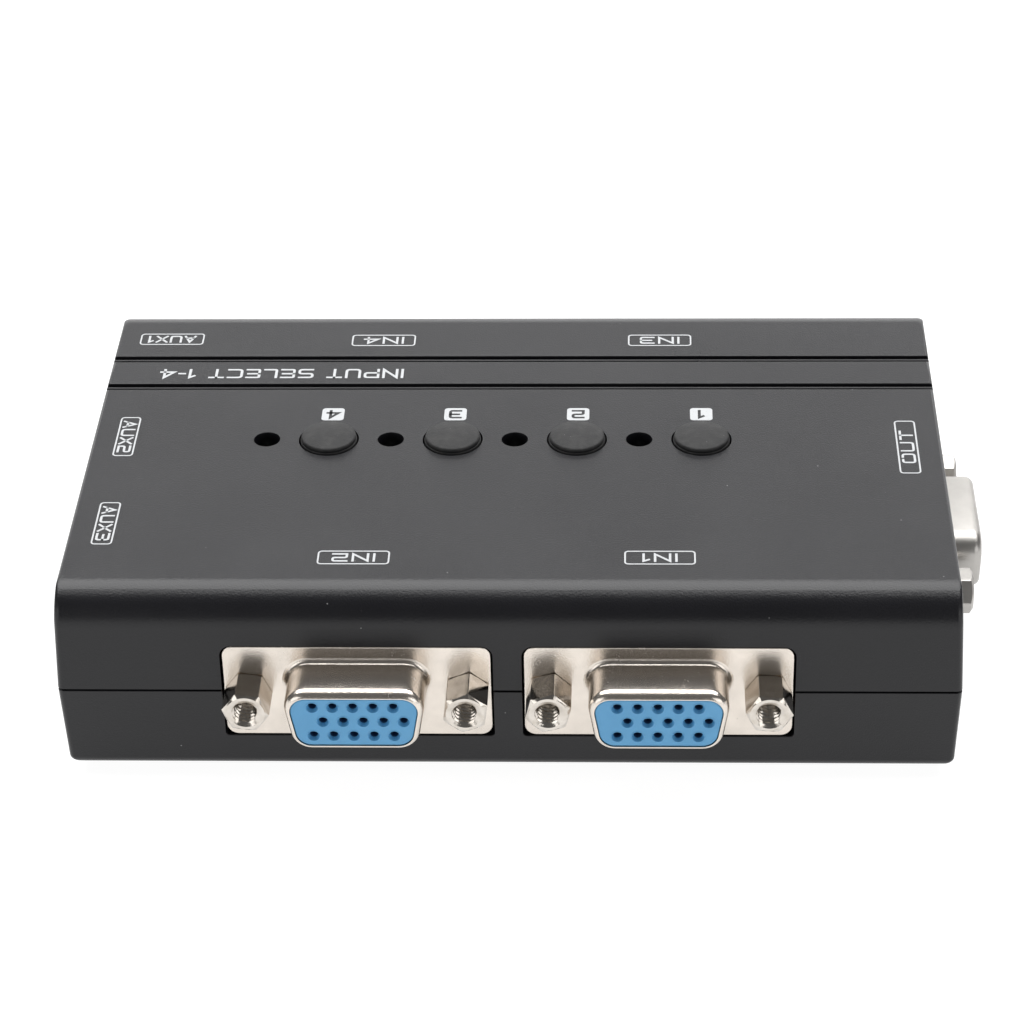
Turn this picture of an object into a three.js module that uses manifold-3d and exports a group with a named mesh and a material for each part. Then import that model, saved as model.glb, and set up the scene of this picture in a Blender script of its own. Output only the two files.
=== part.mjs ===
// A four-input desktop KVM switch: a two-part moulded case on rubber feet, four DE-15 video inputs, one DE-15
// video output, three USB-A sockets, and a circuit board with four push switches and four indicator lamps.
// Millimetres, +Z up, +X to the output side. The origin is the centre of the case's underside panel.
import * as THREE from "three";
import { mergeVertices } from "three/addons/utils/BufferGeometryUtils.js";
import Module from "manifold-3d";

const wasm = await Module();
wasm.setup();

// Driving dimensions: the case
const CASE_HEIGHT = 24;
const CASE_HALF_WIDTH = { bottom: 51.38, parting: 51.74, top: 51.2 };
const CASE_HALF_DEPTH = { bottom: 32.44, parting: 33, top: 32.66 };
const PARTING_Z = 11.34;
const PARTING_GAP = 0.24;
const WALL = 1.9;
const TOP_PLATE = 2;
const FLOOR = 2;
const LONG_EDGE_RADIUS = 4.2; // the top's front and rear edges
const SIDE_EDGE_RADIUS = 0.4; // the top's left and right edges
const BOTTOM_EDGE_RADIUS = 1.3;
const CORNER_RADIUS = 0.7; // the upright corners
const LIP = { inset: 1, height: 1.2, clearance: 0.3 }; // the tongue that joins the two halves
const GROOVE = { y: [12.96, 19.58], width: 1.2, depth: 0.55 };

// Driving dimensions: the push buttons and lamps
const BUTTON_ROW_Y = 0.7;
const BUTTON_PITCH = 15;
const BUTTON_COUNT = 4;
const BUTTON_HOLE_RADIUS = 3.635;
const LAMP_HOLE_RADIUS = 1.6;
const LAMP_OFFSET_X = -7.5; // each lamp stands half a pitch to the left of its button
const CAP = { radius: 3.35, edge: 0.7, crown: 1.25, rimRadius: 4.3, rimTop: 21.6, rimBottom: 21, foot: 15.5 };
const PLUNGER = { radius: 1.75, bottom: 7.5, top: 18.4 };
const SWITCH = { side: 6, height: 3.6, pocketBottom: 6.8 };
const RUNNING_GAP = 0.3;

// Driving dimensions: the board
const BOARD = { width: 96, depth: 60, top: 4.6, thickness: 1.6, standoff: [30, 16] };
const MOUNTED_Z = BOARD.top + RUNNING_GAP; // the underside of what stands on the board

// Driving dimensions: the DE-15 sockets
const FLANGE = { width: 30.8, height: 12.5, radius: 1.4, thickness: 0.8 };
const FLANGE_CLEARANCE = 0.2;
const DSHELL = { width: 16.4, height: 7.9, wall: 0.45, length: 5.9, radius: 2.5, slope: 10 };
const PIN_HOLE = { radius: 0.5, depth: 4, pitch: 2.29, rowPitch: 1.98, outerShift: -0.1, middleShift: 1.045 };
const JACK = { spacing: 25, across: 4.75, length: 4.4, chamfer: 0.5, bore: 1.3, boreDepth: 4, shank: 1.4 };
const VIDEO_Z = 11.1;
const VIDEO_SOCKETS = [
  { name: "pc1", x: 17.2, y: -32.7, turn: 0 },
  { name: "pc2", x: -17.2, y: -32.7, turn: 0 },
  { name: "pc3", x: 17.2, y: 32.7, turn: 180 },
  { name: "pc4", x: -17.2, y: 32.7, turn: 180 },
  { name: "output", x: 50.15, y: 0, turn: 90 },
];

// Driving dimensions: the USB-A sockets
const USB = { width: 13.3, height: 5.9, wall: 0.35, length: 13.6 };
const USB_TONGUE = { width: 11.2, thickness: 1.9, length: 9, recess: 1, topGap: 0.45 };
const USB_CLEARANCE = 0.4;
const USB_SOCKETS = [
  { name: "usb1", x: -41.8, y: 32.6, turn: 180 },
  { name: "usb2", x: -51.2, y: 1.35, turn: -90 },
  { name: "usb3", x: -51.2, y: -17.5, turn: -90 },
];

// Driving dimensions: screws and feet
const SCREW_PLACES = [
  [45, -28],
  [45, 28],
  [-45, -28],
  [-45, 13.6],
];
const POST = { radius: 2.6, pilot: 1.4, bottom: 3.8, pilotDepth: 9 };
const SCREW = { head: 2.5, headTop: 1.8, headBottom: 0.4, shank: 1.1, tip: 11.5, pocket: 2.9, pocketTop: 2 };
const FOOT_PLACES = [
  [36, -24],
  [36, 24],
  [-36, -24],
  [-36, 24],
];
const FOOT = { radius: 4, bottom: -1.2, recess: 0.6, clearance: 0.3 };

const finish = (color, roughness, metalness) =>
  new THREE.MeshStandardMaterial({ color, roughness, metalness });
const MATERIALS = {
  case: finish(0x39393b, 0.55, 0),
  button: finish(0x2e2e30, 0.5, 0),
  nickel: finish(0xc9c4ba, 0.3, 1),
  blue: finish(0x4f93c8, 0.45, 0),
  black: finish(0x151515, 0.5, 0),
  rubber: finish(0x1c1c1c, 0.9, 0),
  board: finish(0x1d5a33, 0.5, 0),
  lamp: finish(0xd8e6d8, 0.2, 0),
  steel: finish(0x8a8a8c, 0.35, 1),
};

// --- Shapes and solids -------------------------------------------------------------------------------------

// A closed geometry as a solid that can be joined and cut.
function solid(geometry) {
  const bare = geometry.clone();
  bare.deleteAttribute("normal");
  bare.deleteAttribute("uv");
  const merged = mergeVertices(bare, 1e-4);
  return new wasm.Manifold(
    new wasm.Mesh({
      numProp: 3,
      vertProperties: merged.attributes.position.array,
      triVerts: new Uint32Array(merged.index.array),
    }),
  );
}

function geometryOf(manifold) {
  const { vertProperties, triVerts } = manifold.getMesh();
  const geometry = new THREE.BufferGeometry();
  geometry.setAttribute("position", new THREE.BufferAttribute(vertProperties, 3));
  geometry.setIndex(new THREE.BufferAttribute(triVerts, 1));
  return geometry;
}

function piece(name, manifold, material) {
  const mesh = new THREE.Mesh(geometryOf(manifold), material);
  mesh.name = name;
  return mesh;
}

const joined = (first, ...rest) => rest.reduce((sum, next) => sum.add(next), first);
const cutBy = (first, ...tools) => tools.reduce((left, tool) => left.subtract(tool), first);

function box(width, depth, low, high, x = 0, y = 0) {
  const geometry = new THREE.BoxGeometry(width, depth, high - low);
  return solid(geometry.translate(x, y, (low + high) / 2));
}

function post(radius, low, high, x = 0, y = 0, sides = 16) {
  const geometry = new THREE.CylinderGeometry(radius, radius, high - low, sides).rotateX(Math.PI / 2);
  return solid(geometry.translate(x, y, (low + high) / 2));
}

// Radius and height pairs turned about the Z axis, from bottom to top, with both ends on the axis.
function turned(profile, sides = 20) {
  const points = profile.map(([radius, z]) => new THREE.Vector2(radius, z));
  return solid(new THREE.LatheGeometry(points, sides).rotateX(Math.PI / 2));
}

// An outline through corner points, each [x, y, radius], with every corner rounded by its own radius.
function roundedOutline(corners) {
  const shape = new THREE.Shape();
  corners.forEach(([x, y, radius], i) => {
    const corner = new THREE.Vector2(x, y);
    const before = new THREE.Vector2(...corners.at(i - 1)).sub(corner).normalize();
    const after = new THREE.Vector2(...corners[(i + 1) % corners.length]).sub(corner).normalize();
    const half = Math.acos(THREE.MathUtils.clamp(before.dot(after), -1, 1)) / 2;
    if (!radius) {
      if (i) shape.lineTo(x, y);
      else shape.moveTo(x, y);
      return;
    }
    const back = radius / Math.tan(half);
    const start = corner.clone().addScaledVector(before, back);
    const end = corner.clone().addScaledVector(after, back);
    const middle = before.clone().add(after).normalize();
    const centre = corner.clone().addScaledVector(middle, radius / Math.sin(half));
    const from = Math.atan2(start.y - centre.y, start.x - centre.x);
    const to = Math.atan2(end.y - centre.y, end.x - centre.x);
    if (i) shape.lineTo(start.x, start.y);
    else shape.moveTo(start.x, start.y);
    shape.absarc(centre.x, centre.y, radius, from, to, false);
  });
  shape.closePath();
  return shape;
}

function roundedRectangle(width, height, radius) {
  return roundedOutline([
    [-width / 2, -height / 2, radius],
    [width / 2, -height / 2, radius],
    [width / 2, height / 2, radius],
    [-width / 2, height / 2, radius],
  ]);
}

const extruded = (shape, length, curveSegments) =>
  new THREE.ExtrudeGeometry(shape, { depth: length, bevelEnabled: false, curveSegments });

// A socket faces -Y before it is turned, so its outlines lie in XZ and are swept along Y from `from` to `to`.
function swept(shape, from, to, curveSegments = 3) {
  return solid(extruded(shape, to - from, curveSegments).rotateX(Math.PI / 2).translate(0, to, 0));
}

function boxBehind(width, height, from, to, x = 0, z = 0) {
  return solid(new THREE.BoxGeometry(width, to - from, height).translate(x, (from + to) / 2, z));
}

function turnedAndMoved(manifold, { x, y, turn }, z) {
  return manifold.rotate([0, 0, turn]).translate([x, y, z]);
}

// --- The case ----------------------------------------------------------------------------------------------

// The upper half's outside, or its inside when inset is the wall. It narrows towards the top.
function upperForm(inset, plate, low) {
  const top = CASE_HEIGHT - plate;
  const depth = { low: CASE_HALF_DEPTH.parting - inset, high: CASE_HALF_DEPTH.top - inset };
  const width = { low: CASE_HALF_WIDTH.parting - inset, high: CASE_HALF_WIDTH.top - inset };
  const longRadius = LONG_EDGE_RADIUS - inset;
  const sideRadius = Math.max(SIDE_EDGE_RADIUS - inset, 0);
  return boundedBy(depth, width, low, top, longRadius, sideRadius, "top", inset);
}

// The lower half's outside, or its inside. It narrows towards the bottom.
function lowerForm(inset, floor, high) {
  const depth = { low: CASE_HALF_DEPTH.bottom - inset, high: CASE_HALF_DEPTH.parting - inset };
  const width = { low: CASE_HALF_WIDTH.bottom - inset, high: CASE_HALF_WIDTH.parting - inset };
  const radius = Math.max(BOTTOM_EDGE_RADIUS - inset, 0);
  return boundedBy(depth, width, floor, high, radius, radius, "bottom", inset);
}

// What lies inside a side profile swept along X, a front profile swept along Y and a plan swept along Z.
function boundedBy(depth, width, low, high, longRadius, sideRadius, roundedEnd, inset) {
  const profile = (half, radius) => {
    const atTop = roundedEnd === "top" ? radius : 0;
    const atBottom = roundedEnd === "bottom" ? radius : 0;
    return roundedOutline([
      [-half.low, low, atBottom],
      [half.low, low, atBottom],
      [half.high, high, atTop],
      [-half.high, high, atTop],
    ]);
  };
  const reach = 2 * CASE_HALF_WIDTH.parting;
  const alongX = extruded(profile(depth, longRadius), reach, 6);
  alongX.translate(0, 0, -reach / 2).rotateY(Math.PI / 2).rotateX(Math.PI / 2);
  const alongY = extruded(profile(width, sideRadius), reach, 3);
  alongY.translate(0, 0, -reach / 2).rotateX(Math.PI / 2);
  return solid(alongX).intersect(solid(alongY)).intersect(planPlug(inset, low, high));
}

// A straight-sided plug with the case's plan, drawn in by `inset`.
function planPlug(inset, low, high) {
  const plan = roundedRectangle(
    2 * (CASE_HALF_WIDTH.parting - inset),
    2 * (CASE_HALF_DEPTH.parting - inset),
    Math.max(CORNER_RADIUS - inset, 0),
  );
  return solid(extruded(plan, high - low, 3).translate(0, 0, low));
}

// The holes in the case's walls that the sockets look out of.
function wallOpenings() {
  const reach = 4;
  const video = roundedRectangle(
    FLANGE.width + 2 * FLANGE_CLEARANCE,
    FLANGE.height + 2 * FLANGE_CLEARANCE,
    FLANGE.radius + FLANGE_CLEARANCE,
  );
  const usbLow = MOUNTED_Z - USB_CLEARANCE;
  const usbHigh = PARTING_Z + PARTING_GAP / 2;
  const usb = boxBehind(USB.width + 2 * USB_CLEARANCE, usbHigh - usbLow, -reach, reach);
  return [
    ...VIDEO_SOCKETS.map((place) => turnedAndMoved(swept(video, -reach, reach, 3), place, VIDEO_Z)),
    ...USB_SOCKETS.map((place) => turnedAndMoved(usb, place, (usbLow + usbHigh) / 2)),
  ];
}

const buttonX = (i) => (i - (BUTTON_COUNT - 1) / 2) * BUTTON_PITCH;
const buttonIndexes = Array.from({ length: BUTTON_COUNT }, (_, i) => i);

function topCover() {
  const low = PARTING_Z + PARTING_GAP / 2;
  const insideTop = CASE_HEIGHT - TOP_PLATE;
  const above = CASE_HEIGHT + 1;
  const shell = cutBy(
    upperForm(0, 0, low),
    upperForm(WALL, TOP_PLATE, low - 1),
    planPlug(LIP.inset - LIP.clearance, low - 1, low + LIP.height + LIP.clearance),
  );
  const posts = SCREW_PLACES.map(([x, y]) => post(POST.radius, POST.bottom, insideTop + 1, x, y));
  const pilots = SCREW_PLACES.map(([x, y]) =>
    post(POST.pilot, POST.bottom - 1, POST.bottom + POST.pilotDepth, x, y, 10),
  );
  const buttonHoles = buttonIndexes.flatMap((i) => [
    post(BUTTON_HOLE_RADIUS, insideTop - 1, above, buttonX(i), BUTTON_ROW_Y, 24),
    post(LAMP_HOLE_RADIUS, insideTop - 1, above, buttonX(i) + LAMP_OFFSET_X, BUTTON_ROW_Y),
  ]);
  const grooves = GROOVE.y.map((y) =>
    box(2 * CASE_HALF_WIDTH.parting, GROOVE.width, CASE_HEIGHT - GROOVE.depth, above, 0, y),
  );
  return cutBy(joined(shell, ...posts), ...pilots, ...buttonHoles, ...grooves, ...wallOpenings());
}

function bottomCover() {
  const high = PARTING_Z - PARTING_GAP / 2;
  const lipTop = high + LIP.height;
  const tray = cutBy(lowerForm(0, 0, high), lowerForm(WALL, FLOOR, high + 1));
  const lip = cutBy(planPlug(LIP.inset, high - 1, lipTop), planPlug(WALL, high - 2, lipTop + 1));
  const underBoard = BOARD.top - BOARD.thickness - RUNNING_GAP;
  const seats = SCREW_PLACES.flatMap(([x, y]) => [
    post(SCREW.pocket + 1, FLOOR / 2, underBoard, x, y),
    post(POST.radius, FLOOR / 2, POST.bottom - 0.4, x, y),
  ]);
  const [standX, standY] = BOARD.standoff;
  const standoffs = [-1, 1].flatMap((side) =>
    [-1, 1].map((end) => post(2.5, FLOOR / 2, underBoard, side * standX, end * standY, 10)),
  );
  const screwWays = SCREW_PLACES.flatMap(([x, y]) => [
    post(SCREW.pocket, -1, SCREW.pocketTop, x, y),
    post(SCREW.shank + RUNNING_GAP, 0, POST.bottom, x, y, 10),
  ]);
  const recesses = FOOT_PLACES.map(([x, y]) => post(FOOT.radius + FOOT.clearance, -1, FOOT.recess, x, y, 24));
  return cutBy(joined(tray, lip, ...seats, ...standoffs), ...screwWays, ...recesses, ...wallOpenings());
}

function caseScrew([x, y]) {
  const driverWidth = 0.8;
  const driverLength = 2.8;
  const driverTop = SCREW.headBottom + 0.8;
  const body = turned([
    [0, SCREW.headBottom],
    [SCREW.head * 0.72, SCREW.headBottom],
    [SCREW.head, SCREW.headBottom + 0.6],
    [SCREW.head, SCREW.headTop],
    [SCREW.shank, SCREW.headTop],
    [SCREW.shank, SCREW.tip - 1],
    [0, SCREW.tip],
  ], 12);
  return cutBy(
    body,
    box(driverLength, driverWidth, 0, driverTop),
    box(driverWidth, driverLength, 0, driverTop),
  ).translate([x, y, 0]);
}

function rubberFoot([x, y]) {
  const edge = 0.4;
  return turned([
    [0, FOOT.bottom],
    [FOOT.radius - edge, FOOT.bottom],
    [FOOT.radius, FOOT.bottom + edge],
    [FOOT.radius, FOOT.recess - FOOT.clearance],
    [0, FOOT.recess - FOOT.clearance],
  ], 24).translate([x, y, 0]);
}

// --- The board and what stands on it -----------------------------------------------------------------------

function mainBoard() {
  const plate = box(BOARD.width, BOARD.depth, BOARD.top - BOARD.thickness, BOARD.top);
  const clear = POST.radius + 0.5;
  const reach = 6; // each slot runs out through the board's nearer side
  const slots = SCREW_PLACES.flatMap(([x, y]) => [
    post(clear, 0, BOARD.top + 1, x, y),
    box(reach, 2 * clear, 0, BOARD.top + 1, x + (Math.sign(x) * reach) / 2, y),
  ]);
  return cutBy(plate, ...slots);
}

// A flat package with its leads drawn as one thin shelf on each long side.
function chip({ x, y, width, depth, height }) {
  const leadReach = 1;
  const body = box(width, depth, MOUNTED_Z + 0.1, MOUNTED_Z + height, x, y);
  return joined(body, box(width - 0.8, depth + 2 * leadReach, MOUNTED_Z, MOUNTED_Z + 0.3, x, y));
}

function crystal({ x, y }) {
  const half = { length: 3.2, radius: 2.2 };
  const can = roundedRectangle(2 * (half.length + half.radius), 2 * half.radius, half.radius - 0.05);
  return solid(extruded(can, 3.5, 4).translate(x, y, MOUNTED_Z));
}

function capacitor({ x, y }) {
  return turned([
    [0, MOUNTED_Z],
    [3.1, MOUNTED_Z],
    [3.1, MOUNTED_Z + 6.7],
    [2.8, MOUNTED_Z + 7],
    [0, MOUNTED_Z + 7],
  ], 16).translate([x, y, 0]);
}

const BOARD_CHIPS = [
  { name: "controller_chip", x: -7.5, y: -10.5, width: 10, depth: 8, height: 1.6 },
  { name: "usb_hub_chip", x: -26, y: -11, width: 7, depth: 5, height: 1.4 },
  { name: "video_switch_chip_a", x: 12, y: 12, width: 10, depth: 4.4, height: 1.5 },
  { name: "video_switch_chip_b", x: -12, y: 12, width: 10, depth: 4.4, height: 1.5 },
];
const CRYSTAL_PLACE = { x: 8, y: -11 };
const CAPACITOR_PLACES = [
  { x: 30, y: -13 },
  { x: 30, y: 13 },
];

// --- Push buttons and lamps --------------------------------------------------------------------------------

// A domed cap whose rim holds it under the case's top, with a collar that stands over the plunger.
function buttonCap() {
  const edgeZ = CASE_HEIGHT + CAP.edge;
  const crownSteps = 3;
  const bow = CAP.crown - CAP.edge;
  const crownRadius = CAP.radius - 0.35;
  const crown = Array.from({ length: crownSteps + 1 }, (_, i) => {
    const radius = crownRadius * (1 - i / crownSteps);
    return [radius, edgeZ + bow * (1 - (radius / crownRadius) ** 2)];
  });
  const collar = PLUNGER.radius + RUNNING_GAP;
  return turned([
    [0, PLUNGER.top + RUNNING_GAP],
    [collar, PLUNGER.top + RUNNING_GAP],
    [collar, CAP.foot],
    [collar + 0.9, CAP.foot],
    [collar + 0.9, CAP.rimBottom],
    [CAP.rimRadius, CAP.rimBottom],
    [CAP.rimRadius, CAP.rimTop],
    [CAP.radius, CAP.rimTop],
    [CAP.radius, edgeZ - 0.25],
    ...crown,
  ], 20);
}

function switchBody() {
  const { side, height, pocketBottom } = SWITCH;
  const body = box(side, side, MOUNTED_Z, MOUNTED_Z + height);
  return cutBy(body, post(PLUNGER.radius + RUNNING_GAP, pocketBottom, MOUNTED_Z + height + 1, 0, 0, 12));
}

const switchPlunger = () => post(PLUNGER.radius, PLUNGER.bottom, PLUNGER.top, 0, 0, 12);

// A 3 mm lamp on two long leads, its dome just under the case's top.
function lamp() {
  const base = 16.3;
  const domeSteps = 3;
  const radius = 1.45;
  const domeZ = CASE_HEIGHT - TOP_PLATE - 0.4 - radius;
  const dome = Array.from({ length: domeSteps + 1 }, (_, i) => {
    const angle = (i / domeSteps) * (Math.PI / 2);
    return [i === domeSteps ? 0 : radius * Math.cos(angle), domeZ + radius * Math.sin(angle)];
  });
  const lens = turned([[0, base], [1.9, base], [1.9, base + 1], [radius, base + 1], ...dome], 12);
  const leads = [-1.27, 1.27].map((x) => box(0.5, 0.5, MOUNTED_Z, base + 0.3, x, 0));
  return joined(lens, ...leads);
}

// --- DE-15 video sockets -----------------------------------------------------------------------------------

// The D outline in its own plane, wider at the top, drawn in by `inset` all round.
function dOutline(inset) {
  const lean = THREE.MathUtils.degToRad(DSHELL.slope);
  const halfHeight = DSHELL.height / 2 - inset;
  const sideShift = inset / Math.cos(lean);
  const halfWidth = (z) => DSHELL.width / 2 - (DSHELL.height / 2 - z) * Math.tan(lean) - sideShift;
  const radius = Math.max(DSHELL.radius - inset, 0.3);
  return roundedOutline([
    [-halfWidth(-halfHeight), -halfHeight, radius],
    [halfWidth(-halfHeight), -halfHeight, radius],
    [halfWidth(halfHeight), halfHeight, radius],
    [-halfWidth(halfHeight), halfHeight, radius],
  ]);
}

const jackXs = [-JACK.spacing / 2, JACK.spacing / 2];

function alongY(radius, from, to, x = 0, z = 0, sides = 10) {
  const geometry = new THREE.CylinderGeometry(radius, radius, to - from, sides);
  return solid(geometry.translate(x, (from + to) / 2, z));
}

// The flange with the D tube drawn out of it, and a threaded bracket behind each jack screw.
function videoShell() {
  const backDepth = 4;
  const plate = swept(roundedRectangle(FLANGE.width, FLANGE.height, FLANGE.radius), 0, FLANGE.thickness);
  const tube = swept(dOutline(0), -DSHELL.length, FLANGE.thickness / 2, 4);
  const brackets = jackXs.map((x) => boxBehind(5, 9, FLANGE.thickness / 2, backDepth, x));
  return cutBy(
    joined(plate, tube, ...brackets),
    swept(dOutline(DSHELL.wall), -DSHELL.length - 1, FLANGE.thickness + 1, 3),
    ...jackXs.map((x) => alongY(JACK.shank + RUNNING_GAP, -1, backDepth + 1, x)),
  );
}

// The moulded body: a D nose with fifteen contact holes, and the block that reaches down to the board.
function videoInsulator() {
  const noseRecess = 0.1;
  const noseGap = 0.25;
  const nose = swept(dOutline(DSHELL.wall + noseGap), noseRecess - DSHELL.length, 2.5);
  const reachDown = VIDEO_Z - MOUNTED_Z;
  const block = boxBehind(19.4, reachDown + 5, FLANGE.thickness + RUNNING_GAP, 12, 0, (5 - reachDown) / 2);
  const holes = [1, 0, -1].flatMap((row) =>
    [-2, -1, 0, 1, 2].map((column) => {
      const x = column * PIN_HOLE.pitch + (row ? PIN_HOLE.outerShift : PIN_HOLE.middleShift);
      const end = PIN_HOLE.depth - DSHELL.length;
      return alongY(PIN_HOLE.radius, -DSHELL.length, end, x, row * PIN_HOLE.rowPitch, 6);
    }),
  );
  return cutBy(joined(nose, block), ...holes);
}

// A hexagonal jack screw: a chamfered head with a threaded bore, and the shank that holds the flange.
function jackScrew(x, twist) {
  const headBack = -RUNNING_GAP / 2;
  const corner = JACK.across / Math.sqrt(3);
  const prism = solid(
    new THREE.CylinderGeometry(corner, corner, JACK.length + headBack, 6)
      .rotateY(THREE.MathUtils.degToRad(twist))
      .translate(0, (headBack - JACK.length) / 2, 0),
  );
  const tip = JACK.across / 2 - 0.15;
  const chamfered = new THREE.LatheGeometry(
    [
      [0, -JACK.length],
      [tip, -JACK.length],
      [corner + 0.05, -JACK.length + JACK.chamfer],
      [corner + 0.05, 0],
      [0, 0],
    ].map(([radius, y]) => new THREE.Vector2(radius, y)),
    18,
  );
  const head = prism.intersect(solid(chamfered));
  const shank = alongY(JACK.shank, headBack - 0.5, 5.2);
  const bore = alongY(JACK.bore, -JACK.length - 1, -JACK.length + JACK.boreDepth);
  return cutBy(joined(head, shank), bore).translate([x, 0, 0]);
}

const JACK_TWISTS = [
  [22, 34],
  [33, 2],
  [12, 40],
  [5, 28],
  [30, 8],
];

// --- USB-A sockets -----------------------------------------------------------------------------------------

const USB_Z = MOUNTED_Z + USB.height / 2;

function usbShell() {
  const { width, height, wall, length } = USB;
  const outer = swept(roundedRectangle(width, height, 0.8), 0, length);
  const inner = roundedRectangle(width - 2 * wall, height - 2 * wall, 0.45);
  return cutBy(outer, swept(inner, -1, length - wall));
}

// The tongue that carries the four contacts, and the block that it grows out of.
function usbTongue() {
  const clear = 0.25;
  const { width, thickness, length, recess, topGap } = USB_TONGUE;
  const inner = { width: USB.width - 2 * USB.wall, height: USB.height - 2 * USB.wall };
  const tongueZ = inner.height / 2 - topGap - thickness / 2;
  const blockEnd = USB.length - USB.wall - clear;
  const block = boxBehind(inner.width - 2 * clear, inner.height - 2 * clear, recess + length, blockEnd);
  return joined(block, boxBehind(width, thickness, recess, recess + length + 0.5, 0, tongueZ));
}

// --- Assembly ----------------------------------------------------------------------------------------------

const assembly = new THREE.Group();

assembly.add(piece("top_cover", topCover(), MATERIALS.case));
assembly.add(piece("bottom_cover", bottomCover(), MATERIALS.case));
SCREW_PLACES.forEach((place, i) =>
  assembly.add(piece(`case_screw_${i + 1}`, caseScrew(place), MATERIALS.steel)),
);
FOOT_PLACES.forEach((place, i) =>
  assembly.add(piece(`rubber_foot_${i + 1}`, rubberFoot(place), MATERIALS.rubber)),
);

assembly.add(piece("main_board", mainBoard(), MATERIALS.board));
BOARD_CHIPS.forEach((place) => assembly.add(piece(place.name, chip(place), MATERIALS.black)));
assembly.add(piece("crystal", crystal(CRYSTAL_PLACE), MATERIALS.nickel));
CAPACITOR_PLACES.forEach((place, i) =>
  assembly.add(piece(`capacitor_${i + 1}`, capacitor(place), MATERIALS.black)),
);

// Button 1 is at the right, as the numbers beside the buttons run.
buttonIndexes.forEach((i) => {
  const number = BUTTON_COUNT - i;
  const station = new THREE.Group();
  station.position.set(buttonX(i), BUTTON_ROW_Y, 0);
  const light = piece(`lamp_${number}`, lamp(), MATERIALS.lamp);
  light.position.x = LAMP_OFFSET_X;
  station.add(
    piece(`button_cap_${number}`, buttonCap(), MATERIALS.button),
    piece(`switch_plunger_${number}`, switchPlunger(), MATERIALS.black),
    piece(`switch_body_${number}`, switchBody(), MATERIALS.black),
    light,
  );
  assembly.add(station);
});

function stationAt({ x, y, turn }, z) {
  const station = new THREE.Group();
  station.position.set(x, y, z);
  station.rotation.z = THREE.MathUtils.degToRad(turn);
  return station;
}

VIDEO_SOCKETS.forEach((place, i) => {
  const station = stationAt(place, VIDEO_Z);
  station.add(
    piece(`${place.name}_video_shell`, videoShell(), MATERIALS.nickel),
    piece(`${place.name}_video_insulator`, videoInsulator(), MATERIALS.blue),
    piece(`${place.name}_jack_screw_left`, jackScrew(jackXs[0], JACK_TWISTS[i][0]), MATERIALS.nickel),
    piece(`${place.name}_jack_screw_right`, jackScrew(jackXs[1], JACK_TWISTS[i][1]), MATERIALS.nickel),
  );
  assembly.add(station);
});

USB_SOCKETS.forEach((place) => {
  const station = stationAt(place, USB_Z);
  station.add(
    piece(`${place.name}_shell`, usbShell(), MATERIALS.nickel),
    piece(`${place.name}_tongue`, usbTongue(), MATERIALS.black),
  );
  assembly.add(station);
});

export default assembly;
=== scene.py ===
"""The looks of a four-input desktop KVM switch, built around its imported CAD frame.

Shapes are worked out in millimetres and stored in metres. A socket is built facing -Y about the centre
of its flange or mouth, then turned and moved to where the frame holds it.
"""
import math

import bmesh
import bpy
from mathutils import Matrix, Vector


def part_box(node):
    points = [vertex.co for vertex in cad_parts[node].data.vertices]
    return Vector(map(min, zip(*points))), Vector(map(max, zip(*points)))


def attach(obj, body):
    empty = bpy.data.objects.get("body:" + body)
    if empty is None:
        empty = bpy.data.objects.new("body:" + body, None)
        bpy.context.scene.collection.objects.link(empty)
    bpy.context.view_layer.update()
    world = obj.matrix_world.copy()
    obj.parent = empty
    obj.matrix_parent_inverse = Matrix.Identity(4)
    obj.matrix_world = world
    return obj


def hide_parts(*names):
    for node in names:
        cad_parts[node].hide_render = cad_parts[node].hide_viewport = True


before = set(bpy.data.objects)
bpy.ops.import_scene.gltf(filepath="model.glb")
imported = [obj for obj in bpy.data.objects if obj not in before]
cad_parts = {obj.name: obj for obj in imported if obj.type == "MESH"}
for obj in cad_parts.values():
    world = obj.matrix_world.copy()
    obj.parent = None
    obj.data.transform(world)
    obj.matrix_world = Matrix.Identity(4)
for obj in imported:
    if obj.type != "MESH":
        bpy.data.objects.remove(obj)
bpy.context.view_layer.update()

MM = 0.001
CASE_BODY = "case"


def box_mm(node):
    """The lowest and highest corners of a CAD node, in millimetres."""
    low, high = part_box(node)
    return low / MM, high / MM


def span_mm(node):
    """A CAD node's lowest and highest corners and its centre, in millimetres."""
    low, high = box_mm(node)
    return low, high, (low + high) / 2


def centre_mm(node):
    return span_mm(node)[2]


def shift(x=0.0, y=0.0, z=0.0):
    """A move given in millimetres."""
    return Matrix.Translation(Vector((x, y, z)) * MM)


def turn(degrees, axis="Z"):
    return Matrix.Rotation(math.radians(degrees), 4, axis)


def linked(name, data):
    """A new object in the scene."""
    piece = bpy.data.objects.new(name, data)
    bpy.context.scene.collection.objects.link(piece)
    return piece


# --- Camera, floor and light ---

CAMERA_PLACE = Vector((14.28, -325.80, 231.35))
CAMERA_PITCH = 33.69  # degrees below the horizon
CAMERA_YAW = -2.60
CAMERA_ROLL = -1.394
CAMERA_LENS = 112.70
SENSOR_WIDTH = 36
ROOM_STRENGTH = 0.12


def make_camera():
    aim = turn(-CAMERA_YAW) @ turn(90 - CAMERA_PITCH, "X") @ turn(CAMERA_ROLL)
    data = bpy.data.cameras.new("camera")
    data.lens = CAMERA_LENS
    data.sensor_width = SENSOR_WIDTH
    data.clip_start = 0.01
    camera = linked("camera", data)
    camera.matrix_world = shift(*CAMERA_PLACE) @ aim
    bpy.context.scene.camera = camera


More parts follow.
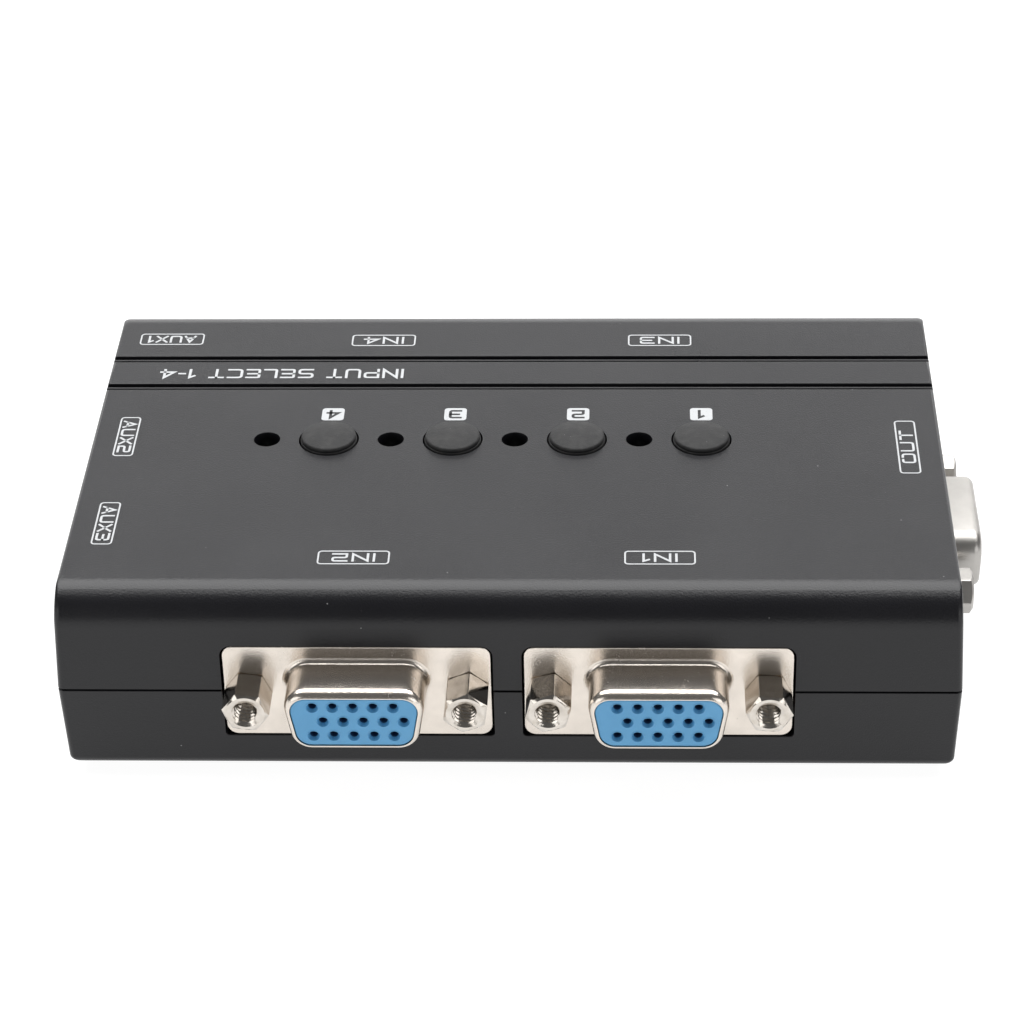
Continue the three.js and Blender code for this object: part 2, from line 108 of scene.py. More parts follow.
def area_light(name, place, target, width, depth, power):
    """A white panel; sizes in metres, power in watts."""
    data = bpy.data.lights.new(name, "AREA")
    data.shape = "RECTANGLE"
    data.size = width
    data.size_y = depth
    data.energy = power
    aim = (Vector(target) - Vector(place)).to_track_quat("-Z", "Y").to_matrix().to_4x4()
    linked(name, data).matrix_world = Matrix.Translation(Vector(place)) @ aim


def make_light():
    """A softbox overhead and behind, a bright backdrop, a dim room and two small panels in front."""
    scene = bpy.context.scene
    scene.view_settings.view_transform = "Standard"
    world = bpy.data.worlds.new("room")
    world.use_nodes = True
    background = world.node_tree.nodes["Background"]
    background.inputs["Color"].default_value = (1, 1, 1, 1)
    background.inputs["Strength"].default_value = ROOM_STRENGTH
    scene.world = world
    area_light("overhead", (0, 0.43, 1.0), (0, 0.37, 0), 1.8, 1.04, 33)
    area_light("backdrop", (0, 1.3, 0.40), (0, 0, 0.1), 2.6, 0.66, 10.6)
    for name, side in (("left_panel", -1), ("right_panel", 1)):
        area_light(name, (side * 0.70, -0.72, 0.28), (0, 0, 0), 0.7, 0.42, 1.7)


# --- Meshes ---

POINT_WELD = 1e-7  # metres within which points of a new mesh are one
CUT_WELD = 2e-6  # the same for the slivers that a boolean leaves


def mesh_object(points, faces):
    """A mesh object from points in millimetres."""
    mesh = bpy.data.meshes.new("mesh")
    mesh.from_pydata([Vector(p) * MM for p in points], [], faces)
    work = bmesh.new()
    work.from_mesh(mesh)
    bmesh.ops.remove_doubles(work, verts=work.verts, dist=POINT_WELD)
    bmesh.ops.recalc_face_normals(work, faces=work.faces)
    work.to_mesh(mesh)
    work.free()
    return linked("piece", mesh)


def loft(loops, ring=False):
    """A closed skin over loops of equal length. A ring joins the last loop to the first; otherwise both ends
    are capped."""
    count = len(loops[0])
    spans = len(loops) if ring else len(loops) - 1
    faces = []
    for row in range(spans):
        here, there = row * count, (row + 1) % len(loops) * count
        for i in range(count):
            j = (i + 1) % count
            faces.append((here + i, here + j, there + j, there + i))
    if not ring:
        faces.append(tuple(reversed(range(count))))
        faces.append(tuple(range((len(loops) - 1) * count, len(loops) * count)))
    return mesh_object([p for loop in loops for p in loop], faces)


def merged(pieces):
    """One object holding the pieces' meshes, which are removed."""
    work = bmesh.new()
    for piece in pieces:
        piece.data.transform(piece.matrix_world)
        work.from_mesh(piece.data)
        bpy.data.objects.remove(piece)
    mesh = bpy.data.meshes.new("mesh")
    work.to_mesh(mesh)
    work.free()
    return linked("piece", mesh)


def settle(piece):
    """Gives the piece the mesh that its modifiers make, and drops them."""
    bpy.context.view_layer.update()
    graph = bpy.context.evaluated_depsgraph_get()
    mesh = bpy.data.meshes.new_from_object(
        piece.evaluated_get(graph), preserve_all_data_layers=True, depsgraph=graph
    )
    piece.modifiers.clear()
    piece.data = mesh
    return piece


def boolean(piece, tools, operation):
    tool = merged(tools)
    step = piece.modifiers.new(operation, "BOOLEAN")
    step.operation = operation
    step.object = tool
    step.solver = "EXACT"
    settle(piece)
    bpy.data.objects.remove(tool)
    work = bmesh.new()
    work.from_mesh(piece.data)
    bmesh.ops.remove_doubles(work, verts=work.verts, dist=CUT_WELD)
    bmesh.ops.dissolve_degenerate(work, edges=work.edges, dist=CUT_WELD)
    work.to_mesh(piece.data)
    work.free()
    return piece


def cut(piece, tools):
    return boolean(piece, tools, "DIFFERENCE")


def fused(piece, tools):
    return boolean(piece, tools, "UNION")


def smooth(piece, sharp=40):
    """Smooth shading that keeps edges over `sharp` degrees crisp."""
    piece.data.shade_smooth()
    piece.data.set_sharp_from_angle(angle=math.radians(sharp))
    return piece


def soften(piece, width, segments=2, angle=34):
    """Rounds every edge sharper than `angle` degrees to about `width` millimetres."""
    bevel = piece.modifiers.new("bevel", "BEVEL")
    bevel.width = width * MM
    bevel.segments = segments
    bevel.limit_method = "ANGLE"
    bevel.angle_limit = math.radians(angle)
    bevel.use_clamp_overlap = True
    piece.data.shade_smooth()
    normals = piece.modifiers.new("normals", "WEIGHTED_NORMAL")
    normals.keep_sharp = True
    return settle(piece)


# --- Outlines ---

def rounded_polygon(corners, steps=6):
    """Points [x, y] round a polygon whose corners are (x, y, radius), anticlockwise."""
    points = []
    for i, (x, y, radius) in enumerate(corners):
        corner = Vector((x, y))
        before = (Vector(corners[i - 1][:2]) - corner).normalized()
        after = (Vector(corners[(i + 1) % len(corners)][:2]) - corner).normalized()
        half = math.acos(max(-1, min(1, before.dot(after)))) / 2
        back = radius / math.tan(half)
        start = corner + before * back
        end = corner + after * back
        centre = corner + (before + after).normalized() * (radius / math.sin(half))
        first = math.atan2(start.y - centre.y, start.x - centre.x)
        sweep = (math.atan2(end.y - centre.y, end.x - centre.x) - first) % math.tau
        for k in range(steps + 1):
            angle = first + sweep * k / steps
            points.append((centre.x + radius * math.cos(angle), centre.y + radius * math.sin(angle)))
    return points


def rectangle(half_width, half_height):
    return [(x * half_width, y * half_height) for x, y in ((-1, -1), (1, -1), (1, 1), (-1, 1))]


def rounded_rectangle(half_width, half_height, radius, steps=6):
    return rounded_polygon([(x, y, radius) for x, y in rectangle(half_width, half_height)], steps)


def circle(radius, sides):
    angles = [math.tau * i / sides for i in range(sides)]
    return [(radius * math.cos(angle), radius * math.sin(angle)) for angle in angles]


def upright(outline, low, high, x=0, y=0):
    """A prism that stands along Z."""
    return loft([[(x + p[0], y + p[1], z) for p in outline] for z in (low, high)])


def rods(places, radius, sides, low, high):
    """Round prisms that stand at these places."""
    return [upright(circle(radius, sides), low, high, x, y) for x, y in places]


def facing(outline, front, back, x=0, z=0):
    """A prism along Y, its outline in XZ."""
    return loft([[(x + p[0], y, z + p[1]) for p in outline] for y in (front, back)])


AXIS = 0.01  # the radius at which a turned profile starts and ends


def turned(profile, sides):
    """A solid of revolution about Z from (radius, z) pairs, capped at both ends."""
    return loft([[(r * c, r * s, z) for c, s in circle(1, sides)] for r, z in profile])


def arc(centre, radius, first, last, steps):
    """Points (a, b) on an arc between two angles in degrees."""
    angles = [math.radians(first + (last - first) * i / steps) for i in range(steps + 1)]
    return [(centre[0] + radius * math.cos(t), centre[1] + radius * math.sin(t)) for t in angles]


# --- Materials ---

class Finish:
    """A material with a Principled shader, and short ways to add procedural detail to it."""

    def __init__(self, name, colour, roughness, metallic=0.0):
        self.material = bpy.data.materials.new(name)
        self.material.use_nodes = True
        self.tree = self.material.node_tree
        self.shader = self.tree.nodes["Principled BSDF"]
        self.colour = colour
        self.adjust(Base_Color=(*colour, 1), Roughness=roughness, Metallic=metallic)
        self.place = self.add("ShaderNodeTexCoord").outputs["Object"]
        self.normal = None

    def fill(self, node, inputs):
        for name, value in inputs.items():
            self.put(node.inputs[name.replace("_", " ")], value)
        return node

    def add(self, kind, **inputs):
        return self.fill(self.tree.nodes.new(kind), inputs)

    def adjust(self, **inputs):
        self.fill(self.shader, inputs)

    def put(self, socket, value):
        if isinstance(value, bpy.types.NodeSocket):
            self.tree.links.new(value, socket)
        else:
            socket.default_value = value

    def noise(self, size, detail=2.0, stretch=(1, 1, 1)):
        """Noise from 0 to 1 with features about `size` millimetres across."""
        place = self.add("ShaderNodeMapping", Vector=self.place, Scale=stretch).outputs["Vector"]
        node = self.add("ShaderNodeTexNoise", Vector=place, Scale=1 / (size * MM), Detail=detail)
        return node.outputs["Fac"]

    def spots(self, spacing, radius):
        """1 inside scattered dots of about `radius` millimetres, 0 elsewhere."""
        node = self.add("ShaderNodeTexVoronoi", Vector=self.place, Scale=1 / (spacing * MM))
        return self.ramp(node.outputs["Distance"], radius / spacing, 0.6 * radius / spacing)

    def ramp(self, value, low, high):
        """value carried from low..high to 0..1, and held there."""
        return self.add("ShaderNodeMapRange", Value=value, From_Min=low, From_Max=high).outputs["Result"]

    def math(self, operation, first, second):
        node = self.add("ShaderNodeMath")
        node.operation = operation
        self.put(node.inputs[0], first)
        self.put(node.inputs[1], second)
        return node.outputs["Value"]

    def mix(self, amount, first, second):
        node = self.add("ShaderNodeMix")
        node.data_type = "RGBA"
        self.put(node.inputs[0], amount)
        self.put(node.inputs[6], (*first, 1) if isinstance(first, tuple) else first)
        self.put(node.inputs[7], (*second, 1) if isinstance(second, tuple) else second)
        return node.outputs[2]

    def paint(self, amount, second):
        """Blends the base colour towards another where amount is 1."""
        socket = self.shader.inputs["Base Color"]
        first = socket.links[0].from_socket if socket.links else self.colour
        self.put(socket, self.mix(amount, first, second))

    def roughen(self, amount, low, high):
        node = self.add("ShaderNodeMapRange", Value=amount, To_Min=low, To_Max=high)
        self.adjust(Roughness=node.outputs["Result"])

    def bump(self, height, strength, depth):
        """Adds relief of about `depth` millimetres."""
        node = self.add("ShaderNodeBump", Height=height, Strength=strength, Distance=depth * MM)
        if self.normal is not None:
            self.put(node.inputs["Normal"], self.normal)
        self.normal = node.outputs["Normal"]
        self.adjust(Normal=self.normal)


def dusted(finish, spacing, radius, strength, colour):
    """Adds sparse faint specks."""
    finish.paint(finish.math("MULTIPLY", finish.spots(spacing, radius), strength), colour)


def moulded_case():
    finish = Finish("case_plastic", (0.0066, 0.0066, 0.0082), 0.3)
    finish.adjust(Specular_IOR_Level=0.355)
    grain = finish.noise(0.2, 3)
    cloud = finish.noise(14, 4)
    finish.paint(finish.ramp(cloud, 0.35, 0.75), (0.0082, 0.0082, 0.0099))
    dusted(finish, 4, 0.1, 0.5, (0.34, 0.34, 0.34))
    finish.roughen(finish.math("MULTIPLY", finish.math("ADD", grain, cloud), 0.5), 0.23, 0.37)
    finish.bump(grain, 0.9, 0.03)
    finish.bump(finish.noise(1.0, 2), 0.2, 0.03)
    return finish.material


def button_plastic():
    finish = Finish("button_plastic", (0.012, 0.012, 0.0125), 0.5)
    finish.adjust(Specular_IOR_Level=0.26)
    grain = finish.noise(0.13, 2)
    finish.paint(finish.ramp(finish.noise(1.2, 4), 0.45, 0.8), (0.026, 0.0255, 0.025))
    dusted(finish, 1.3, 0.05, 0.5, (0.35, 0.35, 0.34))
    finish.roughen(grain, 0.46, 0.64)
    finish.bump(grain, 0.9, 0.03)
    finish.bump(finish.noise(0.45, 2), 0.5, 0.05)
    return finish.material


def nickel_plate(name="nickel", colour=(0.71, 0.65, 0.585), dulling=0.0):
    finish = Finish(name, colour, 0.3, 1.0)
    grain = finish.noise(0.17, 3)
    cloud = finish.noise(2.4, 4)
    finish.paint(finish.ramp(cloud, 0.35, 0.8), tuple(0.88 * c for c in colour))
    dusted(finish, 3.1, 0.07, 0.6, (0.25, 0.22, 0.19))
    blend = finish.math("MULTIPLY", finish.math("ADD", grain, cloud), 0.5)
    finish.roughen(blend, 0.17 + dulling, 0.33 + dulling)
    finish.bump(grain, 0.7, 0.016)
    finish.bump(finish.noise(0.9, 2), 0.12, 0.03)
    return finish.material


# The patches, roughness and relief of the two black plastics in the table that follows.
MOULDED_GRAIN = ((3, 3, 0.4, 0.8), (0.12, 2, 0.38, 0.56), (0.12, 2, 0.2, 0.012))
# Colour, roughness and metallic; a second colour and its patches (noise size, detail, from, to);
# the roughness (noise size, detail, low, high); and the relief (noise size, detail, strength, depth).
SIMPLE_FINISHES = {
    "turned_nickel": (
        (0.61, 0.57, 0.52), 0.18, 1,
        (0.50, 0.455, 0.40), (1.2, 4, 0.4, 0.8), (0.3, 3, 0.10, 0.24), (0.25, 2, 0.12, 0.015),
    ),
    "shaded_bore": (  # painted shade: a dark navy for the inside of a contact hole, where shade falls
        (0.022, 0.055, 0.125), 0.5, 0,
        (0.03, 0.07, 0.15), (0.3, 2, 0.45, 0.8), (0.2, 2, 0.4, 0.6), (0.15, 2, 0.2, 0.01),
    ),
    "blue_insulator": (
        (0.095, 0.325, 0.575), 0.42, 0,
        (0.107, 0.352, 0.61), (2.2, 3, 0.4, 0.8), (0.12, 2, 0.36, 0.52), (0.12, 2, 0.15, 0.012),
    ),
    "black_insulator": ((0.016, 0.016, 0.017), 0.45, 0, (0.024, 0.024, 0.0255), *MOULDED_GRAIN),
    "chip": ((0.022, 0.022, 0.024), 0.45, 0, (0.033, 0.033, 0.036), *MOULDED_GRAIN),
    "rubber": (
        (0.024, 0.024, 0.024), 0.8, 0,
        (0.05, 0.05, 0.048), (1.5, 4, 0.45, 0.8), (0.2, 3, 0.7, 0.95), (0.22, 3, 0.5, 0.04),
    ),
    "white_ink": (
        (0.42, 0.43, 0.44), 0.5, 0,
        (0.27, 0.275, 0.28), (0.22, 3, 0.58, 0.8), (0.3, 2, 0.4, 0.6), (0.16, 2, 0.3, 0.01),
    ),
    "lamp": (
        (0.045, 0.05, 0.045), 0.14, 0,
        (0.035, 0.04, 0.035), (1.1, 2, 0.4, 0.8), (0.4, 2, 0.1, 0.22), None,
    ),
    "screw_steel": (
        (0.42, 0.42, 0.43), 0.32, 1,
        (0.30, 0.29, 0.28), (0.8, 4, 0.45, 0.75), (0.25, 3, 0.22, 0.48), (0.3, 3, 0.2, 0.02),
    ),
}


def simple_finish(name):
    colour, roughness, metallic, second, patches, roughening, relief = SIMPLE_FINISHES[name]
    finish = Finish(name, colour, roughness, metallic)
    size, detail, low, high = patches
    finish.paint(finish.ramp(finish.noise(size, detail), low, high), second)
    size, detail, low, high = roughening
    finish.roughen(finish.noise(size, detail), low, high)
    if relief:
        size, detail, strength, depth = relief
        finish.bump(finish.noise(size, detail), strength, depth)
    return finish


def moulded_blue():
    """A blue plastic that light enters a little."""
    finish = simple_finish("blue_insulator")
    finish.adjust(Subsurface_Weight=0.08, Subsurface_Radius=(0.0004, 0.0006, 0.001))
    return finish.material


def solder_mask():
    finish = Finish("board", (0.012, 0.10, 0.035), 0.3)
    traces = finish.noise(2.2, 0, (1, 0.12, 1))
    finish.paint(finish.ramp(traces, 0.55, 0.58), (0.02, 0.16, 0.055))
    finish.paint(finish.spots(2.6, 0.28), (0.65, 0.62, 0.55))
    finish.roughen(finish.noise(0.6, 2), 0.24, 0.42)
    finish.bump(traces, 0.3, 0.05)
    return finish.material


def pale_floor():
    finish = Finish("floor", (0.20, 0.20, 0.20), 0.8)
    finish.paint(finish.ramp(finish.noise(60, 3), 0.4, 0.8), (0.185, 0.185, 0.185))
    finish.adjust(Emission_Color=(1, 1, 1, 1), Emission_Strength=0.94)
    return finish.material


MATERIALS = {name: simple_finish(name).material for name in SIMPLE_FINISHES if name != "blue_insulator"}
MATERIALS.update({
    "case_plastic": moulded_case(),
    "button_plastic": button_plastic(),
    "nickel": nickel_plate(),
    # painted shade: a darker, rougher copy of the nickel, used only on the output socket so that it catches
    # less of the light
    "painted_shade_nickel": nickel_plate("painted_shade_nickel", (0.415, 0.40, 0.38), 0.14),
    "blue_insulator": moulded_blue(),
    "board": solder_mask(),
})


def finished(piece, name, slot=None, body=CASE_BODY, node=None, look=None, second=None):
    """Names the piece, gives it its material and body, and lets it stand for its CAD node."""
    piece.name = name
    piece.data.name = name
    for material in (look or slot, second):
        if material:
            piece.data.materials.append(MATERIALS[material])
    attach(piece, body)
    if node:
        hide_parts(node)
    return piece


def copy_of(piece, place):
    """A copy of the piece with `place` worked into its mesh."""
    mesh = piece.data.copy()
    mesh.transform(place)
    return linked("piece", mesh)


# --- The case ---

UPPER_LOW, UPPER_HIGH = box_mm("top_cover")
LOWER_HIGH = box_mm("bottom_cover")[1]
CASE_TOP = UPPER_HIGH.z
HALF_WIDTH = UPPER_HIGH.x  # at the parting line, where the case is widest
HALF_DEPTH = UPPER_HIGH.y
LIP_HEIGHT = 1.2
LIP_INSET = 1.0
LIP_CLEARANCE = 0.3
PARTING_GAP = 0.24
LOWER_RIM = LOWER_HIGH.z - LIP_HEIGHT
UPPER_RIM = LOWER_RIM + PARTING_GAP
PARTING_Z = LOWER_RIM + PARTING_GAP / 2
TOP_DRAFT = (0.54, 0.34)  # how much narrower and shallower each half-size is at the top
BOTTOM_DRAFT = (0.36, 0.56)
WALL = 1.9
TOP_PLATE = 2
FLOOR = 2
LONG_EDGE_RADIUS = 4.2
SIDE_EDGE_RADIUS = 0.4
BOTTOM_EDGE_RADIUS = 1.3
CORNER_RADIUS = 0.7
CORNER_STEPS = 8
EDGE_STEPS = 14
EDGE_BREAK = 0.12
GROOVE_WIDTH = 1.3
GROOVE_DEPTH = 0.5
GROOVE_LIP = 0.16
GROOVE_RIB = (0.23, 0.16, 0.29)  # half-widths at its foot and its crest, and its height
GROOVE_YS = (12.96, 19.58)
BUTTON_HOLE_RADIUS = 3.635
LAMP_HOLE_RADIUS = 1.6
POST_RADIUS, POST_BORE = 2.6, 1.4
SEAT_RADIUS, SCREW_POCKET_RADIUS = 3.9, 2.9
SUPPORT_RADIUS = 2.5
SUPPORT_PLACES = [(x, y) for x in (-30, 30) for y in (-16, 16)]
NUMBERS = (1, 2, 3, 4)


def edge_drop(radius, depth):
    """How far a quarter-round edge has drawn in at `depth` before its flat."""
    if depth >= radius:
        return 0
    return radius - math.sqrt(max(0, radius**2 - (radius - depth) ** 2))


def case_loop(z, inset, side_drop=0.0, long_drop=0.0):
    """The case's outline at a height, drawn in by an inset and by its rounded edges."""
    above = z >= PARTING_Z
    end = CASE_TOP if above else 0
    draft = TOP_DRAFT if above else BOTTOM_DRAFT
    share = (z - PARTING_Z) / (end - PARTING_Z)
    half_width = HALF_WIDTH - draft[0] * share - inset - side_drop
    half_depth = HALF_DEPTH - draft[1] * share - inset - long_drop
    outline = rounded_rectangle(half_width, half_depth, max(CORNER_RADIUS - inset, 0.25), CORNER_STEPS)
    return [(x, y, z) for x, y in outline]


def edge_depths(*radii):
    """Depths at which loops follow rounded edges of these radii, deepest first."""
    depths = {0.0}
    for radius in radii:
        for i in range(EDGE_STEPS):
            depths.add(round(radius * (1 - math.sin(i * math.pi / 2 / EDGE_STEPS)), 4))
    return sorted(depths, reverse=True)


def socket_openings():
    """The prisms that cut the walls where sockets look out."""
    reach = 4
    video_gap, lower_radius = 0.16, 0.4
    usb_gap = 0.4
    wide, tall = FLANGE_WIDTH / 2 + video_gap, FLANGE_HEIGHT / 2 + video_gap
    radii = (lower_radius, lower_radius, FLANGE_RADIUS, FLANGE_RADIUS)
    video = rounded_polygon([(x, y, radius) for (x, y), radius in zip(rectangle(wide, tall), radii)])
    tools = [placed(facing(video, -reach, reach), place) for place in VIDEO_PLACES.values()]
    low = USB_LOW - usb_gap
    for place in USB_PLACES.values():
        tool = facing(rectangle(USB_WIDTH / 2 + usb_gap, (UPPER_RIM - low) / 2), -reach, reach)
        tools.append(placed(tool, place @ shift(z=(UPPER_RIM + low) / 2 - USB_Z)))
    return tools


def placed(piece, place):
    """Works a move into the piece's mesh."""
    piece.data.transform(place)
    return piece


def groove_bar(y):
    """The bar that cuts a groove with rounded lips and leaves a fine rib along its floor."""
    half, floor = GROOVE_WIDTH / 2, CASE_TOP - GROOVE_DEPTH
    lip = GROOVE_LIP
    foot, crest, height = GROOVE_RIB
    section = [(-crest, floor + height), (-foot, floor), (-half, floor)]
    section += [(-half - lip + a, CASE_TOP - lip + b) for a, b in arc((0, 0), lip, 0, 90, 5)]
    section += [(-half - lip, CASE_TOP + 1)]
    section += [(-across, z) for across, z in reversed(section)]
    end = HALF_WIDTH + 1
    return loft([[(x, y + across, z) for across, z in section] for x in (-end, end)])


def top_cover():
    roof = CASE_TOP - TOP_PLATE
    rebate = UPPER_RIM + LIP_HEIGHT + LIP_CLEARANCE
    rebate_inset = LIP_INSET - LIP_CLEARANCE
    inner_radius = LONG_EDGE_RADIUS - WALL
    loops = [
        case_loop(roof - depth, WALL, 0, edge_drop(inner_radius, depth))
        for depth in reversed(edge_depths(inner_radius)[::3])
    ]
    loops += [case_loop(rebate, WALL), case_loop(rebate, rebate_inset), case_loop(UPPER_RIM, rebate_inset)]
    loops.append(case_loop(UPPER_RIM, 0))
    loops += [
        case_loop(
            CASE_TOP - depth, 0, edge_drop(SIDE_EDGE_RADIUS, depth), edge_drop(LONG_EDGE_RADIUS, depth)
        )
        for depth in edge_depths(LONG_EDGE_RADIUS, SIDE_EDGE_RADIUS)
    ]
    cover = loft(loops)
    post_bottom = UPPER_LOW.z
    fused(cover, rods(SCREW_PLACES, POST_RADIUS, 32, post_bottom, roof + 1))
    above = CASE_TOP + 1
    bore_top = post_bottom + 9
    holes = rods(SCREW_PLACES, POST_BORE, 24, post_bottom - 1, bore_top)
    for number in NUMBERS:
        button, lamp = centre_mm(f"button_cap_{number}"), centre_mm(f"lamp_{number}")
        holes.append(upright(circle(BUTTON_HOLE_RADIUS, 72), roof - 1, above, button.x, button.y))
        holes.append(upright(circle(LAMP_HOLE_RADIUS, 48), roof - 1, above, lamp.x, lamp.y))
    holes += [groove_bar(y) for y in GROOVE_YS]
    cut(cover, holes + socket_openings())
    soften(cover, EDGE_BREAK)
    finished(cover, "top_cover_shell", "case_plastic", node="top_cover")


def over(piece, node):
    """Moves a piece that was built on the Z axis to its CAD node."""
    middle = centre_mm(node)
    return placed(piece, shift(middle.x, middle.y))


def bottom_cover():
    lip_top = LOWER_RIM + LIP_HEIGHT
    loops = [case_loop(FLOOR, WALL), case_loop(lip_top, WALL)]
    loops += [case_loop(lip_top, LIP_INSET), case_loop(LOWER_RIM, LIP_INSET), case_loop(LOWER_RIM, 0)]
    for depth in edge_depths(BOTTOM_EDGE_RADIUS):
        drop = edge_drop(BOTTOM_EDGE_RADIUS, depth)
        loops.append(case_loop(depth, 0, drop, drop))
    tray = loft(loops)
    under_board = box_mm("main_board")[0].z - 0.3
    under_post = UPPER_LOW.z - 0.4
    root = FLOOR / 2  # inside the floor, so that what stands on it is one with it
    seats = rods(SCREW_PLACES, SEAT_RADIUS, 32, root, under_board)
    seats += rods(SUPPORT_PLACES, SUPPORT_RADIUS, 24, root, under_board)
    fused(tray, seats)
    fused(tray, rods(SCREW_PLACES, POST_RADIUS, 32, root + 0.2, under_post))
    pockets = rods(SCREW_PLACES, SCREW_POCKET_RADIUS, 40, -1, FLOOR)
    pockets += rods(FOOT_PLACES, FOOT_RADIUS + 0.3, 56, -1, FOOT_RECESS)
    cut(tray, pockets + socket_openings())
    cut(tray, rods(SCREW_PLACES, POST_BORE, 24, root / 2, 6))
    soften(tray, EDGE_BREAK)
    finished(tray, "bottom_cover_tray", "case_plastic", node="bottom_cover")


# --- Feet and screws ---

SCREW_PLACES = [tuple(centre_mm(f"case_screw_{i}").xy) for i in NUMBERS]
FOOT_PLACES = [tuple(centre_mm(f"rubber_foot_{i}").xy) for i in NUMBERS]
FOOT_LOW, FOOT_HIGH = box_mm("rubber_foot_1")
FOOT_RADIUS = (FOOT_HIGH.x - FOOT_LOW.x) / 2
FOOT_RECESS = 0.6


def rubber_feet():
    low, high = FOOT_LOW.z, FOOT_HIGH.z
    edge = 0.4
    profile = [(AXIS, low + 0.06), (FOOT_RADIUS * 0.5, low + 0.02), (FOOT_RADIUS - edge, low)]
    profile += arc((FOOT_RADIUS - edge, low + edge), edge, -90, 0, 6)[1:]
    profile += [(FOOT_RADIUS, high - 0.1), (FOOT_RADIUS - 0.1, high), (AXIS, high)]
    for i in NUMBERS:
        foot = over(smooth(turned(profile, 56)), f"rubber_foot_{i}")
        finished(foot, f"rubber_foot_{i}_pad", "rubber", node=f"rubber_foot_{i}")


def case_screws():
    """Pan-head screws that cut their own thread, each turned differently."""
    low, high = (corner.z for corner in box_mm("case_screw_1"))
    head, shank, core = 2.5, 1.1, 0.85
    head_top = low + 1.4
    pitch = 0.9
    plain, point = 0.6, 1.6  # the lengths without thread, under the head and at the end
    profile = [(AXIS, low), (head * 0.5, low + 0.02)]
    profile += arc((head - 0.7, low + 0.75), 0.72, -80, 0, 6)
    profile += [(head, head_top), (shank, head_top + 0.05)]
    for k in range(int((high - point - head_top - plain) / pitch)):
        start = head_top + plain + k * pitch
        profile += [(core, start), (shank, start + pitch * 0.5), (core, start + pitch * 0.9)]
    profile += [(core, high - 1.4), (AXIS, high)]
    recess_top = low + 1.0
    for i, (x, y) in zip(NUMBERS, SCREW_PLACES):
        screw = turned(profile, 40)
        cut(screw, [cross_recess(low - 0.5, recess_top)])
        smooth(screw, 35)
        placed(screw, shift(x, y) @ Matrix.Rotation(0.7 * i, 4, "Z"))
        finished(screw, f"case_screw_{i}_pan_head", "screw_steel", node=f"case_screw_{i}")


def cross_recess(low, high):
    """A cross that narrows as it goes in, for a cross-head driver."""
    arm, half = 1.45, 0.36
    quarter = ((arm, -half), (arm, half), (half, half))
    cross = [(c * x - s * y, s * x + c * y) for c, s in circle(1, 4) for x, y in quarter]
    return loft([[(x * share, y * share, z) for x, y in cross] for z, share in ((low, 1), (high, 0.5))])


# --- Video sockets ---

FLANGE_WIDTH, FLANGE_HEIGHT, FLANGE_THICKNESS, FLANGE_RADIUS = 30.8, 12.5, 0.8, 1.4
D_WIDTH, D_HEIGHT, D_LENGTH, D_RADIUS = 16.85, 8.05, 5.9, 2.5
D_LEAN = math.radians(10)
D_LIP = (0.64, 0.82)  # how far the rolled front lip comes in at the sides and bottom, and at the top
D_LIP_BENDS = ((90, 54, 1.25), (54, 24, 0.85), (24, 0, 0.2))  # the roll's angles from the front, and radii
D_FOOT = 0.65  # radius where the tube is drawn out of the flange
JACK_SPACING, JACK_ACROSS, JACK_LENGTH = 25, 4.75, 4.4
CONTACT_PITCH, CONTACT_ROW_PITCH = 2.29, 1.98
OUTER_ROW_SHIFT, MIDDLE_ROW_SHIFT = -0.1, 1.045
TURNS = {"pc1": 0, "pc2": 0, "pc3": 180, "pc4": 180, "output": 90}
JACK_TWISTS = {"pc1": (14, 34), "pc2": (37, 8), "pc3": (12, 40), "pc4": (5, 28), "output": (30, 22)}


def socket_place(node, degrees, depth=0.0):
    """Where a socket built facing -Y goes: `depth` behind its CAD node's outer face."""
    low, high, point = span_mm(node)
    outward = turn(degrees).to_3x3() @ Vector((0, -1, 0))
    for i in range(3):
        if abs(outward[i]) > 0.5:
            point[i] = high[i] if outward[i] > 0 else low[i]
    return shift(*(point - outward * depth)) @ turn(degrees)


VIDEO_PLACES = {name: socket_place(f"{name}_video_shell", TURNS[name], D_LENGTH) for name in TURNS}


def d_outline(grow, top=None, steps=8):
    """The D, wider at the top, grown at its sides and bottom, and at its top by another amount if given."""
    low = -D_HEIGHT / 2 - grow
    high = D_HEIGHT / 2 + (grow if top is None else top)
    lean = math.tan(D_LEAN)

    def half_width(z):
        return D_WIDTH / 2 - (D_HEIGHT / 2 - z) * lean + grow / math.cos(D_LEAN)

    radius = max(D_RADIUS + grow, 0.3)
    corners = ((-1, low), (1, low), (1, high), (-1, high))
    return rounded_polygon([(side * half_width(z), z, radius) for side, z in corners], steps)


def d_loop(grow, y, top=None):
    return [(x, y, z) for x, z in d_outline(grow, top)]


def lip_profile():
    """(distance behind the tip, share of the whole way in) along the rolled lip, from the tube to the tip."""
    points = [(0.0, 0.0)]
    steps = 5
    for first, last, radius in D_LIP_BENDS:
        for k in range(steps):
            a, b = (math.radians(first + (last - first) * step / steps) for step in (k, k + 1))
            ahead, inward = points[-1]
            points.append((
                ahead + radius * (math.cos(b) - math.cos(a)),
                inward + radius * (math.sin(a) - math.sin(b)),
            ))
    length, depth = points[-1]
    return [(length - ahead, inward / depth) for ahead, inward in points]


